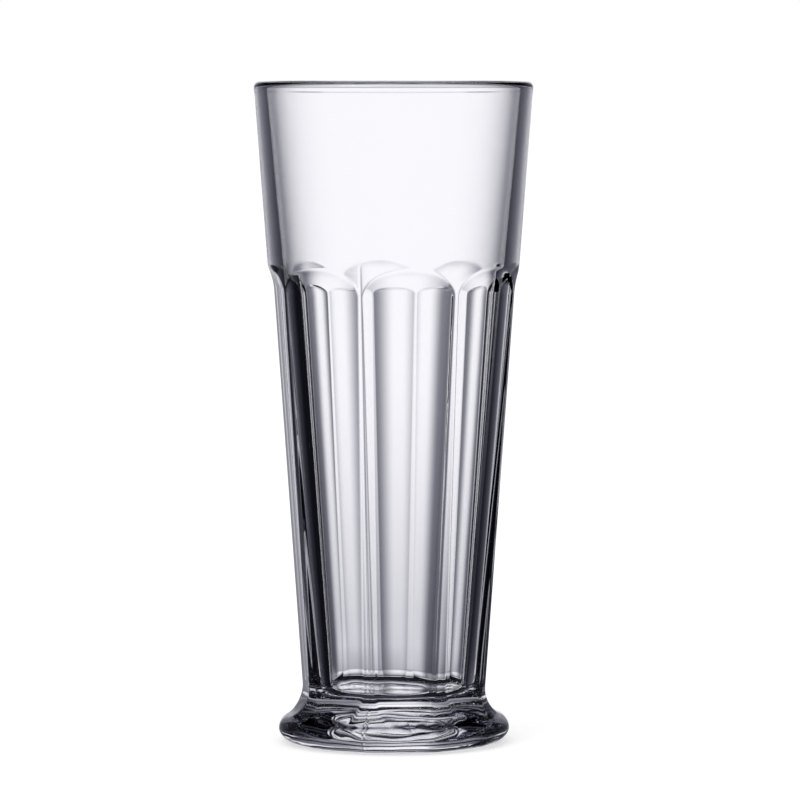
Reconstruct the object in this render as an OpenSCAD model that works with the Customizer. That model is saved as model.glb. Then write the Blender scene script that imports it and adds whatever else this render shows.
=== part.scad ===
// Footed soda glass: a tapered, panelled bowl fused to a round, flared foot.
// Millimetres, +Z up, the axis of the glass on Z and the table at Z = 0.

/* [Bowl] */
// Height from the table to the top of the rim
overall_h = 180; // [160:1:210]
// Outside diameter at the rim
rim_d = 75.8; // [70:0.1:86]
// Thickness of the wall at the rim
rim_wall = 3.3; // [2.5:0.1:4.5]
// Thickness of glass between the fused seam and the inside bottom
floor_t = 2.2; // [1.5:0.1:6]
// Inside diameter at the bottom
floor_d = 37.4; // [30:0.2:40]
// Radius where the inside wall turns into the bottom
floor_corner_r = 4; // [2:0.5:8]

/* [Panels] */
// Number of flat panels round the bowl
panel_count = 8; // [6:1:12]
// Depth of the plain band between the rim and the tops of the panel arches
band_h = 50; // [30:0.1:70]
// How far the middle of a panel lies inside the round wall at its arch
panel_depth_top = 2.4; // [1.2:0.1:3]
// How far the middle of a panel lies inside the round wall at the neck
panel_depth_base = 1.4; // [0.6:0.1:1.8]
// Radius of the cove that ends a panel in an arch under the band
arch_cove_r = 12; // [6:0.5:16]
// Height above the neck at which the panels start to sweep out over the flare
panel_rise = 1.4; // [0.5:0.1:6]

/* [Foot] */
// Outside diameter of the foot
foot_d = 63.1; // [60:0.1:74]
// Outside diameter at the neck, the narrowest place of the wall
neck_d = 50.9; // [48:0.1:54]
// Radius of the rounded edge of the foot, above its widest line
foot_edge_r = 3.9; // [3:0.1:4.8]
// How far the rounding under the edge reaches in from the widest line
foot_heel = 5.8; // [4:0.1:7]
// Radius of the hollow flare between the neck and the foot
flare_r = 8.6; // [7:0.1:11]
// Distance of the fused seam below the neck
seam_drop = 3.5; // [2.5:0.1:4.5]
// Diameter of the hollow in the underside
punt_d = 45; // [30:0.5:47]
// Depth of the hollow in the underside
punt_depth = 4.2; // [1:0.1:5]
// Radius of the rounding between the hollow and the standing ring
punt_lip_r = 1.5; // [0.5:0.1:3]

/* [Hidden] */
$fn = 96;
arc_steps = 12;
glass_tint = [0.88, 0.89, 0.94, 0.4];

rim_r = rim_d / 2;
neck_r = neck_d / 2;
foot_r = foot_d / 2;
floor_r = floor_d / 2;
punt_r = punt_d / 2;

// The rim is a full round on the wall.
rim_round_r = rim_wall / 2;
rim_z = overall_h - rim_round_r;

// The flare and the foot's edge are two circles that touch, which sets the height of the neck.
edge_centre = [foot_r - foot_edge_r, foot_edge_r];
flare_x = neck_r + flare_r;
neck_h = edge_centre.y + sqrt(pow(foot_edge_r + flare_r, 2) - pow(flare_x - edge_centre.x, 2));
flare_centre = [flare_x, neck_h];
touch_angle = atan2(flare_centre.y - edge_centre.y, flare_centre.x - edge_centre.x);

// The outside wall runs straight from the neck to the rim.
wall_lean = atan((rim_r - neck_r) / (rim_z - neck_h));
function wall_r(z) = neck_r + (z - neck_h) * tan(wall_lean);

// The bowl and the foot meet at a level seam across the flare.
seam_h = neck_h - seam_drop;
seam_angle = 180 + asin(seam_drop / flare_r);

// The inside is a straight cone on a flat bottom with a rounded corner.
floor_h = seam_h + floor_t;
inside_lean = atan((rim_r - rim_wall - floor_r) / (rim_z - floor_h));
corner_z = floor_h + floor_corner_r;
corner_x = floor_r + floor_corner_r * (tan(inside_lean) - 1 / cos(inside_lean));

// A panel is flat from the neck to the start of its arch, and leans like the wall does.
arch_h = overall_h - band_h;
panel_base = [wall_r(neck_h + panel_rise) - panel_depth_base, neck_h + panel_rise];
panel_top = [wall_r(arch_h) - panel_depth_top, arch_h];
panel_lean = atan2(panel_top.x - panel_base.x, panel_top.y - panel_base.y);
panel_out = [cos(panel_lean), -sin(panel_lean)];
arch_rise = sqrt(panel_depth_top * (2 * arch_cove_r - panel_depth_top));

// Below the neck it sweeps out over the flare in an arc that runs out where the flare meets the foot's edge.
sweep_reach = edge_centre + foot_edge_r * [cos(touch_angle), sin(touch_angle)] - panel_base;
sweep_r = (sweep_reach * sweep_reach) / (2 * sweep_reach * panel_out);

// The hollow underneath is part of a ball, with a rounded lip.
punt_ball_r = (pow(punt_r, 2) + pow(punt_depth, 2)) / (2 * punt_depth);
punt_lip_x = sqrt(pow(punt_ball_r + punt_lip_r, 2) - pow(punt_ball_r + punt_lip_r - punt_depth, 2));
punt_angle = asin(punt_lip_x / (punt_ball_r + punt_lip_r));

// Points of an arc about a centre, from one angle to another, with a width and a height radius
function oval_arc(centre, rx, ry, from, to) =
    [for (i = [0:arc_steps]) let(a = from + (to - from) * i / arc_steps) centre + [rx * cos(a), ry * sin(a)]];

// Points of a round arc
function arc(centre, r, from, to) = oval_arc(centre, r, r, from, to);

// Half section of the bowl before its panels are cut
module bowl_section() {
    rim_arc = arc([rim_r - rim_round_r, rim_z], rim_round_r, 0, 180);
    corner_arc = arc([corner_x, corner_z], floor_corner_r, -inside_lean, -90);
    flare_arc = arc(flare_centre, flare_r, seam_angle, 180 - wall_lean);
    polygon(concat([[0, seam_h]], flare_arc, rim_arc, corner_arc, [[0, floor_h]]));
}

// Half section of the foot before its panels are cut, from the hollow underneath to the seam
module foot_section() {
    punt_arc = arc([0, punt_depth - punt_ball_r], punt_ball_r, 90, 90 - punt_angle);
    lip_arc = arc([punt_lip_x, punt_lip_r], punt_lip_r, 270 - punt_angle, 270);
    heel_arc = oval_arc([foot_r - foot_heel, foot_edge_r], foot_heel, foot_edge_r, -90, 0);
    edge_arc = arc(edge_centre, foot_edge_r, 0, touch_angle);
    flare_arc = arc(flare_centre, flare_r, 180 + touch_angle, seam_angle);
    polygon(concat(punt_arc, tail(lip_arc), heel_arc, tail(edge_arc), tail(flare_arc), [[0, seam_h]]));
}

// The points of an arc without its first one
function tail(points) = [for (i = [1:len(points) - 1]) points[i]];

// Side view of what one panel takes off the glass: a flat between its arch and its sweep over the flare
module panel_section() {
    flat_end = panel_top - arch_rise * [sin(panel_lean), cos(panel_lean)];
    sweep_arc = arc(panel_base + sweep_r * panel_out, sweep_r, 270 - panel_lean, 180 - panel_lean);
    arch_arc = arc(flat_end + arch_cove_r * panel_out, arch_cove_r, 180 - panel_lean, 90 - panel_lean);
    polygon(concat(sweep_arc, arch_arc));
}

// All panel cuts, the first one facing the front
module panel_cuts() {
    for (i = [0:panel_count - 1])
        rotate([0, 0, i * 360 / panel_count - 90])
            rotate([90, 0, 0])
                linear_extrude(height = rim_d, center = true)
                    panel_section();
}

module bowl() {
    color(glass_tint)
        difference() {
            rotate_extrude() bowl_section();
            panel_cuts();
        }
}

module foot() {
    color(glass_tint)
        difference() {
            rotate_extrude() foot_section();
            panel_cuts();
        }
}

bowl();
foot();
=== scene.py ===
import math

import bpy
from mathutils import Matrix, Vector


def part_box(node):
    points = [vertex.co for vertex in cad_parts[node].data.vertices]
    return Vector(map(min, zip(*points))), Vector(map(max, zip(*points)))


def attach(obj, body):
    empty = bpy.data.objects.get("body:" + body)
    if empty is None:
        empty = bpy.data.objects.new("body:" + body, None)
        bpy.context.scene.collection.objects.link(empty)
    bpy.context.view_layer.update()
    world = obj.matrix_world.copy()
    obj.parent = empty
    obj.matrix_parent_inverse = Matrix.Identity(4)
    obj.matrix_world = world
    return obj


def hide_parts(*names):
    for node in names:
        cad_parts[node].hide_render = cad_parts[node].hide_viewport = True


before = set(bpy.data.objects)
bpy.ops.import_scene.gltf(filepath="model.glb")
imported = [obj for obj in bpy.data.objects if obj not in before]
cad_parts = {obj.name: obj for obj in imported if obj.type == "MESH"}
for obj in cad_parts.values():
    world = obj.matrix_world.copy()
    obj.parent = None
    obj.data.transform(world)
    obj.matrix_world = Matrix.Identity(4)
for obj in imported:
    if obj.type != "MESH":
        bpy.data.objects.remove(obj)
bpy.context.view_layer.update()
mm = 0.001


class Wire:
    # a node socket with arithmetic: each operator adds one Math node to the socket's tree
    def __init__(self, tree, socket=None):
        self.tree = tree
        self.socket = socket

    def node(self, kind, settings=None, sockets=None, out=0):
        made = self.tree.nodes.new(kind)
        for name, value in (settings or {}).items():
            setattr(made, name, value)
        for name, value in (sockets or {}).items():
            if isinstance(value, Wire):
                self.tree.links.new(value.socket, made.inputs[name])
            else:
                made.inputs[name].default_value = value
        return Wire(self.tree, made.outputs[out]) if made.outputs else made

    def also(self, out):
        # another output of the same node
        return Wire(self.tree, self.socket.node.outputs[out])

    def maths(self, operation, *others):
        return self.node("ShaderNodeMath", {"operation": operation}, dict(enumerate((self,) + others)))

    def __add__(self, other):
        return self.maths("ADD", other)

    def __sub__(self, other):
        return self.maths("SUBTRACT", other)

    def __mul__(self, other):
        return self.maths("MULTIPLY", other)

    def __truediv__(self, other):
        return self.maths("DIVIDE", other)

    def __neg__(self):
        return self.maths("MULTIPLY", -1.0)

    def __radd__(self, other):
        return self.maths("ADD", other)

    def __rmul__(self, other):
        return self.maths("MULTIPLY", other)

    def __rsub__(self, other):
        return (-self).maths("ADD", other)

    def __rtruediv__(self, other):
        return self.maths("POWER", -1.0) * other

    def between(self, low, high, start=0.0, end=1.0):
        # smooth step from start to end while the value goes from low to high
        return self.node("ShaderNodeMapRange", {"interpolation_type": "SMOOTHSTEP"},
                         {"Value": self, "From Min": low, "From Max": high, "To Min": start, "To Max": end})


def emptyTree(owner):
    # the cleared node tree of a material or a world
    owner.use_nodes = True
    owner.node_tree.nodes.clear()
    return Wire(owner.node_tree)


# camera, as the photograph was taken

cameraSet = {
    "turn": -7.5,        # degrees round the axis from the front
    "tilt": 3.87,        # degrees above the level of the aim
    "distance": 1420,    # mm from the aim
    "aimHeight": 93.4,   # mm above the table
    "aimAside": 1.75,    # mm to the right of the axis
    "lens": 234.6,       # mm
    "sensor": 36,        # mm
    "clip": (0.1, 100),  # metres
}


def makeCamera(s):
    turn = math.radians(s["turn"])
    tilt = math.radians(s["tilt"])
    right = Vector((math.cos(turn), math.sin(turn), 0))
    back = Vector((math.sin(turn) * math.cos(tilt), -math.cos(turn) * math.cos(tilt), math.sin(tilt)))
    aim = right * s["aimAside"] * mm + Vector((0, 0, s["aimHeight"] * mm))
    data = bpy.data.cameras.new("camera")
    data.lens = s["lens"]
    data.sensor_width = s["sensor"]
    data.clip_start, data.clip_end = s["clip"]
    camera = bpy.data.objects.new("camera", data)
    camera.location = aim + back * s["distance"] * mm
    camera.rotation_mode = "QUATERNION"
    camera.rotation_quaternion = (-back).to_track_quat("-Z", "Y")
    bpy.context.scene.collection.objects.link(camera)
    bpy.context.scene.camera = camera


makeCamera(cameraSet)
print("camera placed")


# clear pressed glass

glassLook = {
    "colour": (0.995, 0.994, 0.998, 1),
    "ior": 1.52,
    "tint": (0.71, 0.7, 0.8, 1),     # what the glass leaves of white light over a long way
    "tintDensity": 2.0,              # per metre
    "waveSize": 70,                  # waves per metre
    "waveDetail": (2.0, 0.4),        # octaves of the noise, and the strength of each next one
    "waveDepth": 0.02,               # mm
    "smearSize": 35,                 # smears per metre
    "smearDetail": (4.0, 0.6),
    "smearSpan": (0.55, 0.8),        # where in the noise a smear begins and where it is full
    "smearRoughness": 0.02,
}


def glassNoise(place, size, detail):
    return place.node("ShaderNodeTexNoise", {"noise_dimensions": "3D"}, {
        "Vector": place, "Scale": size, "Detail": detail[0], "Roughness": detail[1]})


def clearGlass(s):
    material = bpy.data.materials.new("pressed_glass")
    start = emptyTree(material)
    place = start.node("ShaderNodeTexCoord", out="Object")
    waves = glassNoise(place, s["waveSize"], s["waveDetail"])
    bump = start.node("ShaderNodeBump", None, {
        "Height": waves, "Distance": s["waveDepth"] * mm, "Strength": 1.0})
    smears = glassNoise(place, s["smearSize"], s["smearDetail"])
    roughness = smears.between(*s["smearSpan"], 0.0, s["smearRoughness"])
    glass = start.node("ShaderNodeBsdfPrincipled", None, {
        "Base Color": s["colour"], "Roughness": roughness, "IOR": s["ior"],
        "Transmission Weight": 1.0, "Normal": bump})
    depth = start.node("ShaderNodeVolumeAbsorption", None, {
        "Color": s["tint"], "Density": s["tintDensity"]})
    start.node("ShaderNodeOutputMaterial", None, {"Surface": glass, "Volume": depth})
    return material


def fusedSeam():
    # where hot glass fused there is no surface to see
    material = bpy.data.materials.new("fused_seam")
    start = emptyTree(material)
    clear = start.node("ShaderNodeBsdfTransparent", None, {"Color": (1, 1, 1, 1)})
    start.node("ShaderNodeOutputMaterial", None, {"Surface": clear})
    return material


glassMaterial = clearGlass(glassLook)
seamMaterial = fusedSeam()
print("glass mixed")


# the glass: a profile turned about the axis, with flat panels pressed into the wall

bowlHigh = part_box("bowl")[1]
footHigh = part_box("foot")[1]

glassForm = {                # mm, apart from counts and shares
    "height": bowlHigh[2] / mm,
    "rimRadius": bowlHigh[0] / mm,
    "seamHeight": footHigh[2] / mm,
    "footRadius": footHigh[0] / mm,
    "rimWall": 3.3,
    "rimBead": 0.12,         # how much thicker the rim is than the wall
    "beadFade": 2.5,         # under the rim, where the bead has run out
    "rimLine": 0.03,         # the fine line that the mould's ring leaves under the rim
    "rimLineDrop": 2.4,
    "rimLineWidth": 0.25,
    "insideBow": 0.25,       # how far the inside wall bows out half way up
    "floorThick": 2.2,       # above the seam
    "floorRadius": 18.7,
    "floorDome": -0.3,       # how far the middle of the floor stands up
    "floorCorner": 4.2,
    "neckRadius": 25.45,
    "flareRadius": 8.6,
    "footEdge": 3.9,
    "footHeel": 5.8,         # how far the rounding under the edge reaches in
    "puntRadius": 22.5,      # the hollow underneath
    "puntDepth": 4.2,
    "puntLip": 1.5,
    "panels": 8,
    "bandHeight": 50.0,      # plain band between the rim and the arches
    "archDepth": 2.4,        # how far a flat lies inside the round wall at its arch
    "archCove": 12.0,
    "baseDepth": 1.4,        # and above the neck
    "baseRise": 1.4,         # above the neck, where the flats begin to sweep out
    "ridgeSoft": 0.2,        # how softly the ridges and the arches are rounded
    "archSoft": 0.5,
    "seamLineHeight": 0.06,  # the lines where the mould parts
    "seamLineWidth": 0.3,
    "seamLineTop": 139,      # height at which they have run out
    "seamLineFade": 10,
    "rippleSize": 80,        # ripples per metre in the foot and the floor
    "rippleDetail": (1.0, 0.4),
    "rippleDepth": 0.5,
    "rippleSeed": 0.0,
    "rippleFloor": 4,        # they are full to this height above the floor, and gone at twice that
    "rippleSeam": 3,         # and full this far from the seam and from the standing ring
    "rippleRing": 0.4,
    "columns": 368,          # round the axis
    "ridgeCrowd": 0.7,       # how much closer the columns stand at the ridges
    "archRows": (2, 6),      # how far the close rows of the arches reach above and below them
    "baseRows": 3,           # where those of the panels' base begin above it
    "neckRows": 0.7,         # and end above the neck
    "panelReach": 3,         # height above the arches up to which a panel is worked out
}

profileSteps = {             # rows of the mesh from one bend of the profile to the next
    "floor": 8, "corner": 10, "inside": 24, "rim": 18, "bead": 20, "band": 16, "arch": 44, "wall": 30,
    "base": 14, "bowlFlare": 14, "footFlare": 16, "edge": 12, "heel": 14, "ring": 4, "lip": 8, "punt": 14,
}

sameHeight = 1e-6   # mm within which two heights are one


def arc(centre, radius, fromAngle, toAngle, steps):
    turns = [math.radians(fromAngle + (toAngle - fromAngle) * i / steps) for i in range(steps + 1)]
    return [(centre[0] + radius * math.cos(t), centre[1] + radius * math.sin(t)) for t in turns]


def line(start, end, steps):
    # points after the start, up to and with the end
    return [(start[0] + (end[0] - start[0]) * i / steps, start[1] + (end[1] - start[1]) * i / steps)
            for i in range(1, steps + 1)]


def bowed(start, end, bow, steps):
    # the same along a shallow curve
    straight = line(start, end, steps)
    return [(r + bow * math.sin(math.pi * (i + 1) / steps), z) for i, (r, z) in enumerate(straight)]


def wallAt(f, z):
    # radius of the round outside wall
    return f["neckRadius"] + (z - f["neckHeight"]) * f["wallSlope"]


def workOut(f):
    # heights and circles that follow from the sizes
    f["rimRound"] = f["rimWall"] / 2
    f["rimLevel"] = f["height"] - f["rimRound"]
    edge = (f["footRadius"] - f["footEdge"], f["footEdge"])
    flareX = f["neckRadius"] + f["flareRadius"]
    reach = f["footEdge"] + f["flareRadius"]
    f["neckHeight"] = edge[1] + math.sqrt(reach ** 2 - (flareX - edge[0]) ** 2)
    f["edgeCentre"] = edge
    f["flareCentre"] = (flareX, f["neckHeight"])
    f["touchAngle"] = math.degrees(math.atan2(f["neckHeight"] - edge[1], flareX - edge[0]))
    f["seamAngle"] = 180 + math.degrees(math.asin((f["neckHeight"] - f["seamHeight"]) / f["flareRadius"]))
    f["wallSlope"] = (f["rimRadius"] - f["neckRadius"]) / (f["rimLevel"] - f["neckHeight"])
    f["floorHeight"] = f["seamHeight"] + f["floorThick"]
    insideRise = f["rimLevel"] - f["floorHeight"]
    f["insideSlope"] = (f["rimRadius"] - f["rimWall"] - f["floorRadius"]) / insideRise
    f["archHeight"] = f["height"] - f["bandHeight"]
    f["baseHeight"] = f["neckHeight"] + f["baseRise"]
    f["panelAtBase"] = wallAt(f, f["baseHeight"]) - f["baseDepth"]
    f["panelAtArch"] = wallAt(f, f["archHeight"]) - f["archDepth"]
    f["panelSlope"] = (f["panelAtArch"] - f["panelAtBase"]) / (f["archHeight"] - f["baseHeight"])
    # below the neck the flats sweep out over the flare and run out where it meets the foot's edge
    touch = math.radians(f["touchAngle"])
    down = f["baseHeight"] - edge[1] - f["footEdge"] * math.sin(touch)
    out = edge[0] + f["footEdge"] * math.cos(touch) - f["panelAtBase"] + down * f["panelSlope"]
    f["sweep"] = (out ** 2 + down ** 2) / (2 * out)
    f["flatTop"] = f["archHeight"] - math.sqrt(f["archDepth"] * (2 * f["archCove"] - f["archDepth"]))


def bowlProfile(f, n):
    # from the middle of the floor up the inside, over the rim and down the outside to the seam
    lean = math.degrees(math.atan(f["insideSlope"]))
    corner = f["floorCorner"]
    cornerX = f["floorRadius"] + corner * (f["insideSlope"] - 1 / math.cos(math.radians(lean)))
    inner = arc((cornerX, f["floorHeight"] + corner), corner, -90, -lean, n["corner"])
    rimMiddle = (f["rimRadius"] - f["rimRound"], f["rimLevel"])
    rim = arc(rimMiddle, f["rimRound"] + f["rimBead"] / 2, 180, 0, n["rim"])
    middle = (0.0, f["floorHeight"])
    floorRows = [middle] + line(middle, inner[0], n["floor"])
    rows = [(r, z + f["floorDome"] * (1 - (r / cornerX) ** 2)) for r, z in floorRows]
    rows += inner[1:]
    rows += bowed(rows[-1], rim[0], f["insideBow"], n["inside"])
    rows += rim[1:]
    lineAt = f["height"] - f["rimLineDrop"]
    beadEnd = f["rimLevel"] - f["beadFade"]
    rows += [(r + f["rimLine"] * math.exp(-((z - lineAt) / f["rimLineWidth"]) ** 2), z)
             for r, z in line(rows[-1], (wallAt(f, beadEnd), beadEnd), n["bead"])]
    bends = (
        (f["archHeight"] + f["archRows"][0], n["band"]),
        (f["flatTop"] - f["archRows"][1], n["arch"]),
        (f["baseHeight"] + f["baseRows"], n["wall"]),
        (f["neckHeight"] + f["neckRows"], n["base"]),
    )
    for z, steps in bends:
        rows += line(rows[-1], (wallAt(f, z), z), steps)
    rows += arc(f["flareCentre"], f["flareRadius"], 180, f["seamAngle"], n["bowlFlare"])
    rows.append((0.0, f["seamHeight"]))
    return rows


def footProfile(f, n):
    # from the seam down the flare, round the edge and back under the foot to its middle
    flare = arc(f["flareCentre"], f["flareRadius"], f["seamAngle"], 180 + f["touchAngle"], n["footFlare"])
    edge = arc(f["edgeCentre"], f["footEdge"], f["touchAngle"], 0, n["edge"])
    quarter = arc((0, 0), 1, 0, -90, n["heel"])
    heel = [(f["footRadius"] + (x - 1) * f["footHeel"], (y + 1) * f["footEdge"]) for x, y in quarter[1:]]
    ball = (f["puntRadius"] ** 2 + f["puntDepth"] ** 2) / (2 * f["puntDepth"])
    lip = f["puntLip"]
    lipX = math.sqrt((ball + lip) ** 2 - (lip + ball - f["puntDepth"]) ** 2)
    spread = math.degrees(math.asin(lipX / (ball + lip)))
    lipArc = arc((lipX, lip), lip, -90, -90 - spread, n["lip"])
    punt = arc((0, f["puntDepth"] - ball), ball, 90 - spread, 90, n["punt"])
    rows = [(0.0, f["seamHeight"])] + flare + edge[1:] + heel
    rows += line(rows[-1], lipArc[0], n["ring"])
    rows += lipArc[1:] + punt[1:-1]
    rows.append((0.0, f["puntDepth"]))
    return rows


def clamped(value):
    return max(0.0, min(1.0, value))


def profileMesh(name, rows, f):
    # one point per row: x is the radius and z the height
    mesh = bpy.data.meshes.new(name)
    mesh.from_pydata([(r * mm, 0, z * mm) for r, z in rows], [], [])
    if name == "bowl":
        rim = max(range(len(rows)), key=lambda i: rows[i][1])
        outside = [float(i > rim and r > 0) for i, (r, z) in enumerate(rows)]
        rippled = [float(i < rim) * clamped(2 - (z - f["floorHeight"]) / f["rippleFloor"])
                   for i, (r, z) in enumerate(rows)]
    else:
        outside = [float(z > 0 and r > f["puntRadius"]) for r, z in rows]
        rippled = [clamped(min((f["seamHeight"] - z) / f["rippleSeam"], z / f["rippleRing"]))
                   for r, z in rows]
    top = f["archHeight"] + f["panelReach"]
    panelled = [float(o > 0 and f["footEdge"] < z < top) for o, (r, z) in zip(outside, rows)]
    fused = [float(abs(z - f["seamHeight"]) < sameHeight) for r, z in rows]
    marks = {"outside": outside, "panelled": panelled, "fused": fused, "rippled": rippled}
    for label, values in marks.items():
        mesh.attributes.new(label, "FLOAT", "POINT").data.foreach_set("value", values)
    return mesh


turnedInputs = {   # named inputs of the tree, and the size each one takes, in metres or plain numbers
    "Columns": ("NodeSocketInt", "columns", 1),
    "Panels": ("NodeSocketInt", "panels", 1),
    "Ridge Crowd": ("NodeSocketFloat", "ridgeCrowd", 1),
    "Panel At Base": ("NodeSocketFloat", "panelAtBase", mm),
    "Panel Slope": ("NodeSocketFloat", "panelSlope", 1),
    "Base Height": ("NodeSocketFloat", "baseHeight", mm),
    "Sweep": ("NodeSocketFloat", "sweep", mm),
    "Flat Top": ("NodeSocketFloat", "flatTop", mm),
    "Arch Cove": ("NodeSocketFloat", "archCove", mm),
    "Arch Height": ("NodeSocketFloat", "archHeight", mm),
    "Ridge Soft": ("NodeSocketFloat", "ridgeSoft", mm),
    "Arch Soft": ("NodeSocketFloat", "archSoft", mm),
    "Seam Line Height": ("NodeSocketFloat", "seamLineHeight", mm),
    "Seam Line Width": ("NodeSocketFloat", "seamLineWidth", mm),
    "Seam Line Top": ("NodeSocketFloat", "seamLineTop", mm),
    "Seam Line Fade": ("NodeSocketFloat", "seamLineFade", mm),
    "Ripple Size": ("NodeSocketFloat", "rippleSize", 1),
    "Ripple Depth": ("NodeSocketFloat", "rippleDepth", mm),
    "Ripple Seed": ("NodeSocketFloat", "rippleSeed", 1),
}

mergeGap = 1e-7     # metres, closes the turned sheet
allCorners = 0.99   # a face is fused where all its corners are


def turnedTree(f):
    tree = bpy.data.node_groups.new("turnedGlass", "GeometryNodeTree")
    interface = tree.interface
    interface.new_socket(name="Profile", in_out="INPUT", socket_type="NodeSocketGeometry")
    interface.new_socket(name="Glass", in_out="INPUT", socket_type="NodeSocketMaterial")
    interface.new_socket(name="Fused", in_out="INPUT", socket_type="NodeSocketMaterial")
    for name, given in turnedInputs.items():
        interface.new_socket(name=name, in_out="INPUT", socket_type=given[0])
    interface.new_socket(name="Mesh", in_out="OUTPUT", socket_type="NodeSocketGeometry")
    start = Wire(tree)
    profile = start.node("NodeGroupInput", out="Profile")
    size = {name: profile.also(name) for name in turnedInputs}

    # a sheet with one row per profile point and one column per step round the axis
    rowCount = start.node("GeometryNodeAttributeDomainSize", {"component": "MESH"}, {"Geometry": profile})
    sheet = start.node("GeometryNodeMeshGrid", None, {
        "Size X": 1.0, "Size Y": 1.0, "Vertices X": size["Columns"] + 1, "Vertices Y": rowCount})
    index = start.node("GeometryNodeInputIndex")
    row = index.maths("MODULO", rowCount)
    column = (index / rowCount).maths("FLOOR")
    spot = start.node("GeometryNodeInputPosition")
    point = start.node("GeometryNodeSampleIndex", {"domain": "POINT", "data_type": "FLOAT_VECTOR"},
                       {"Geometry": profile, "Value": spot, "Index": row})
    radius = start.node("ShaderNodeSeparateXYZ", None, {0: point}, out="X")
    height = radius.also("Z")
    marks = {}
    for label in ("outside", "panelled", "fused", "rippled"):
        mark = start.node("GeometryNodeInputNamedAttribute", {"data_type": "FLOAT"}, {"Name": label})
        marks[label] = start.node("GeometryNodeSampleIndex", {"domain": "POINT", "data_type": "FLOAT"},
                                  {"Geometry": profile, "Value": mark, "Index": row})

    # columns crowd together at the ridges, where the wall turns most
    share = column / size["Columns"] * math.tau
    turn = share + (share * size["Panels"]).maths("SINE") * size["Ridge Crowd"] / size["Panels"]
    pitch = math.tau / size["Panels"]
    fromMiddle = turn.maths("PINGPONG", pitch / 2)

    # a flat panel between its arch and its sweep over the flare, met softly by the round wall
    overTop = (height - size["Flat Top"]).maths("MAXIMUM", 0.0).maths("MINIMUM", size["Arch Cove"])
    underBase = (size["Base Height"] - height).maths("MAXIMUM", 0.0).maths("MINIMUM", size["Sweep"])
    archOut = size["Arch Cove"] - (size["Arch Cove"] * size["Arch Cove"] - overTop * overTop).maths("SQRT")
    sweepOut = size["Sweep"] - (size["Sweep"] * size["Sweep"] - underBase * underBase).maths("SQRT")
    flat = size["Panel At Base"] + (height - size["Base Height"]) * size["Panel Slope"] + archOut + sweepOut
    panel = flat / fromMiddle.maths("COSINE")
    soft = height.between(size["Flat Top"], size["Arch Height"], size["Ridge Soft"], size["Arch Soft"])
    carved = radius.maths("SMOOTH_MIN", panel, soft)
    wall = radius + (carved - radius) * marks["panelled"]

    # the two lines where the mould parts, on opposite ridges
    fromSeam = (turn - pitch / 2).maths("WRAP", math.pi / 2, -math.pi / 2)
    fromSeam = fromSeam * radius / size["Seam Line Width"]
    seamLine = (-(fromSeam * fromSeam)).maths("EXPONENT") * size["Seam Line Height"] * marks["outside"]
    fullLine = size["Seam Line Top"] - size["Seam Line Fade"]
    wall = wall + seamLine * height.between(size["Seam Line Top"], fullLine)

    facing = -math.pi / 2 - turn
    place = start.node("ShaderNodeCombineXYZ", None, {
        "X": wall * facing.maths("COSINE"), "Y": wall * facing.maths("SINE"), "Z": height})
    capture = start.node("GeometryNodeCaptureAttribute").socket.node
    for label in ("fused", "rippled"):
        capture.capture_items.new("FLOAT", label)
    for label, source in (("Geometry", sheet), ("fused", marks["fused"]), ("rippled", marks["rippled"])):
        tree.links.new(source.socket, capture.inputs[label])
    kept = Wire(tree, capture.outputs["Geometry"])
    fused = kept.also("fused").maths("GREATER_THAN", allCorners)
    shaped = start.node("GeometryNodeSetPosition", None, {"Geometry": kept, "Position": place})
    closed = start.node("GeometryNodeMergeByDistance", None, {"Geometry": shaped, "Distance": mergeGap})

    # slow ripples, left where hot glass was pressed thick
    ripple = start.node("ShaderNodeTexNoise", {"noise_dimensions": "4D"}, {
        "W": size["Ripple Seed"], "Scale": size["Ripple Size"],
        "Detail": f["rippleDetail"][0], "Roughness": f["rippleDetail"][1]})
    lift = (ripple - 0.5) * 2 * size["Ripple Depth"] * kept.also("rippled")
    normal = start.node("GeometryNodeInputNormal")
    offset = start.node("ShaderNodeVectorMath", {"operation": "SCALE"}, {0: normal, "Scale": lift})
    waved = start.node("GeometryNodeSetPosition", None, {"Geometry": closed, "Offset": offset})

    smooth = start.node("GeometryNodeSetShadeSmooth", {"domain": "FACE"},
                        {"Geometry": waved, "Shade Smooth": True})
    crisp = start.node("GeometryNodeSetShadeSmooth", {"domain": "EDGE"},
                       {"Geometry": smooth, "Selection": fused, "Shade Smooth": False})
    real = start.node("GeometryNodeRealizeInstances", None, {"Geometry": crisp})
    glazed = start.node("GeometryNodeSetMaterial", None,
                        {"Geometry": real, "Material": profile.also("Glass")})
    joined = start.node("GeometryNodeSetMaterial", None,
                        {"Geometry": glazed, "Selection": fused, "Material": profile.also("Fused")})
    start.node("NodeGroupOutput", None, {"Mesh": joined})
    return tree


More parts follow.
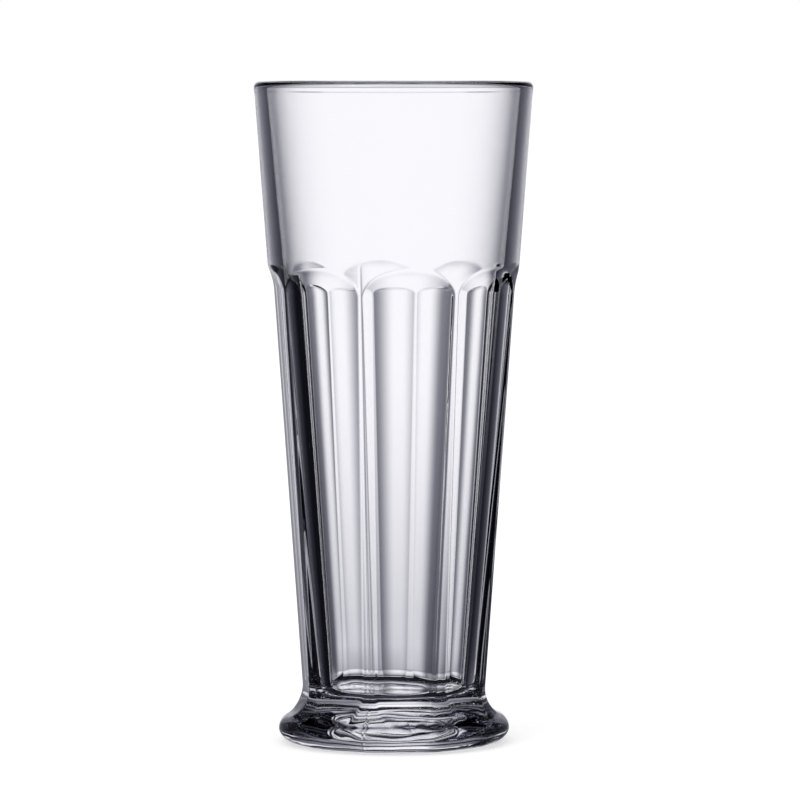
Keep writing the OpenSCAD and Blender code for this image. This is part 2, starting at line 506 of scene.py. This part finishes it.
def turnedPiece(name, rows, tree, f):
    base = bpy.data.objects.new(name + "_profile", profileMesh(name, rows, f))
    bpy.context.scene.collection.objects.link(base)
    modifier = base.modifiers.new("turned", "NODES")
    modifier.node_group = tree
    inputs = [item for item in tree.interface.items_tree if item.in_out == "INPUT"]
    identifiers = {item.name: item.identifier for item in inputs}
    modifier[identifiers["Glass"]] = glassMaterial
    modifier[identifiers["Fused"]] = seamMaterial
    for label, (kind, size, unit) in turnedInputs.items():
        modifier[identifiers[label]] = int(f[size]) if kind == "NodeSocketInt" else f[size] * unit
    bpy.context.view_layer.update()
    graph = bpy.context.evaluated_depsgraph_get()
    turned = base.evaluated_get(graph)
    mesh = bpy.data.meshes.new_from_object(turned, preserve_all_data_layers=True, depsgraph=graph)
    bpy.data.objects.remove(base)
    mesh.materials.pop(index=0)   # the sheet's empty slot
    mesh.name = name
    piece = bpy.data.objects.new("glass_" + name, mesh)
    bpy.context.scene.collection.objects.link(piece)
    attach(piece, "root")
    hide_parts(name)
    print(piece.name, len(mesh.polygons), "faces", [material.name for material in mesh.materials])


workOut(glassForm)
glassTree = turnedTree(glassForm)
turnedPiece("bowl", bowlProfile(glassForm, profileSteps), glassTree, glassForm)
turnedPiece("foot", footProfile(glassForm, profileSteps), glassTree, glassForm)


# floor, studio light and the white surround

studio = {
    "floorSize": 40,          # metres
    "floorColour": (0.8, 0.8, 0.8, 1),
    "floorGlow": 0.47,        # what lifts the floor to white in the camera
    "fill": 0.75,             # level light from all round
    "keyPower": 6,            # watts
    "keySize": 0.9,           # metres
    "keyPlace": (-0.9, -0.9, 1.6),
    "keyAim": (0, 0, 0.08),
}

backlight = {                            # what the glass shows: two angles in degrees, and levels at them
    "level": 1.13,
    "cool": (1.006, 1.047, 0.92),        # red and blue against green, and a power for bluer dim parts
    "middle": 82.5,                      # direction of the middle of the white wall, from X
    "core": (3, 22, 0.74, 0),            # the wall's bright part, by the angle aside of its middle
    "spread": (10, 65, 0.26, 0),         # a faint spread round it
    "spreadTop": (8, 24, 1, 0),          # which fades out upwards
    "edgeShade": (0, 28, 0.2, 0.45),     # what is lost of both where light turns back inside one wall
    "wallFoot": (-11.5, -4.7, 0.42, 1),  # the wall dims towards the table
    "table": (-48, -18, 0.02, 0.85),     # and the table towards its near edge
    "tableMeet": (-16, -11.5),           # heights between which the two meet
    "ceiling": (30, 50, 1, 0.03),
    "surround": 0.9,                     # pale room past two dark cards, seen straight through the glass
    "cardStart": (16, 24),               # where the cards begin aside
    "cardLeft": (36, 44),                # and end, for light through both walls
    "cardRight": (31, 37),
    "cardSolid": (48, 56),               # and for light through one wall or the solid foot
    "cardFoot": (-15, -12, 0.3, 0),      # what is seen under the cards
    "cardHead": (14, 24),                # and over them
    "nearTable": (-50, -46.5, 1, 0),     # the table right in front of the glass
    "nearShade": 0.8,                    # what both walls take of it
    "overhead": (50, 65),
    "dim": 0.03,                         # what reflections see of the near table and overhead
    "dark": 0.004,                       # what is left in the dark
    "oneWall": 2.5,                      # light passes two surfaces of one wall, and four of both
}


def makeFloor(s):
    half = s["floorSize"] / 2
    corners = [(-half, -half, 0), (half, -half, 0), (half, half, 0), (-half, half, 0)]
    mesh = bpy.data.meshes.new("floor")
    mesh.from_pydata(corners, [], [(0, 1, 2, 3)])
    floor = bpy.data.objects.new("floor", mesh)
    bpy.context.scene.collection.objects.link(floor)
    material = bpy.data.materials.new("floor_white")
    start = emptyTree(material)
    path = start.node("ShaderNodeLightPath", out="Is Camera Ray")
    seen = (path.also("Is Glossy Ray") + path.also("Is Transmission Ray")).maths("MINIMUM", 1.0)
    paint = start.node("ShaderNodeBsdfDiffuse", None, {"Color": s["floorColour"]})
    glow = start.node("ShaderNodeEmission", None, {"Strength": path * s["floorGlow"]})
    lit = start.node("ShaderNodeAddShader", None, {0: paint, 1: glow})
    clear = start.node("ShaderNodeBsdfTransparent")   # the glass shows the world's table there
    both = start.node("ShaderNodeMixShader", None, {0: seen, 1: lit, 2: clear})
    start.node("ShaderNodeOutputMaterial", None, {"Surface": both})
    mesh.materials.append(material)


def makeWorld(s, b):
    world = bpy.data.worlds.new("studio")
    bpy.context.scene.world = world
    start = emptyTree(world)
    way = start.node("ShaderNodeTexCoord", out="Generated")
    x = start.node("ShaderNodeSeparateXYZ", None, {0: way}, out="X")
    rise = x.also("Z").maths("ARCSINE") * math.degrees(1)
    turn = x.also("Y").maths("ARCTAN2", x) * math.degrees(1) - b["middle"]
    left = turn.maths("WRAP", 180.0, -180.0)
    aside = left.maths("ABSOLUTE")
    path = start.node("ShaderNodeLightPath", out="Is Camera Ray")
    mirrored = path.also("Glossy Depth").maths("MINIMUM", 1.0)
    bothWalls = path.also("Transmission Depth").maths("GREATER_THAN", b["oneWall"])

    # the white wall and the table in front of it
    wall = aside.between(*b["core"]) + aside.between(*b["spread"]) * rise.between(*b["spreadTop"])
    wall = wall * (1 - mirrored * (1 - bothWalls) * aside.between(*b["edgeShade"]))
    upper = rise.between(*b["wallFoot"])
    lower = rise.between(*b["table"])
    level = lower + (upper - lower) * rise.between(*b["tableMeet"])
    wall = wall * level * rise.between(*b["ceiling"])

    # the pale room past the cards
    past = left.between(*b["cardLeft"]).maths("MAXIMUM", (-left).between(*b["cardRight"])) * bothWalls
    past = past.maths("MAXIMUM", aside.between(*b["cardSolid"]))
    under = rise.between(*b["cardFoot"]) * aside.between(*b["cardStart"])
    near = rise.between(*b["nearTable"]) * (1 - bothWalls * b["nearShade"])
    over = rise.between(*b["cardHead"])
    room = past.maths("MAXIMUM", under).maths("MAXIMUM", near).maths("MAXIMUM", over)
    room = room * (1 - mirrored) * b["surround"]
    dim = near.maths("MAXIMUM", rise.between(*b["overhead"])) * b["dim"]

    bright = wall.maths("MAXIMUM", room).maths("MAXIMUM", dim) + b["dark"]
    seen = path.also("Is Glossy Ray").maths("MAXIMUM", path.also("Is Transmission Ray"))
    bright = bright * seen * b["level"]
    plain = path + path.also("Is Diffuse Ray") * s["fill"]
    red, blue, bluePower = b["cool"]
    colour = start.node("ShaderNodeCombineColor", None, {
        "Red": bright * red + plain, "Green": bright + plain,
        "Blue": bright.maths("POWER", bluePower) * blue + plain})
    light = start.node("ShaderNodeBackground", None, {"Color": colour, "Strength": 1.0})
    start.node("ShaderNodeOutputWorld", None, {"Surface": light})


def makeKey(s):
    data = bpy.data.lights.new("key", "AREA")
    data.energy = s["keyPower"]
    data.size = s["keySize"]
    key = bpy.data.objects.new("key", data)
    key.location = s["keyPlace"]
    key.rotation_euler = (Vector(s["keyAim"]) - key.location).to_track_quat("-Z", "Y").to_euler()
    bpy.context.scene.collection.objects.link(key)


makeFloor(studio)
makeWorld(studio, backlight)
makeKey(studio)
scene = bpy.context.scene
scene.view_settings.view_transform = "Standard"
scene.cycles.max_bounces = 18
scene.cycles.transmission_bounces = 18
scene.cycles.glossy_bounces = 8
scene.cycles.transparent_max_bounces = 32
print("studio lit")
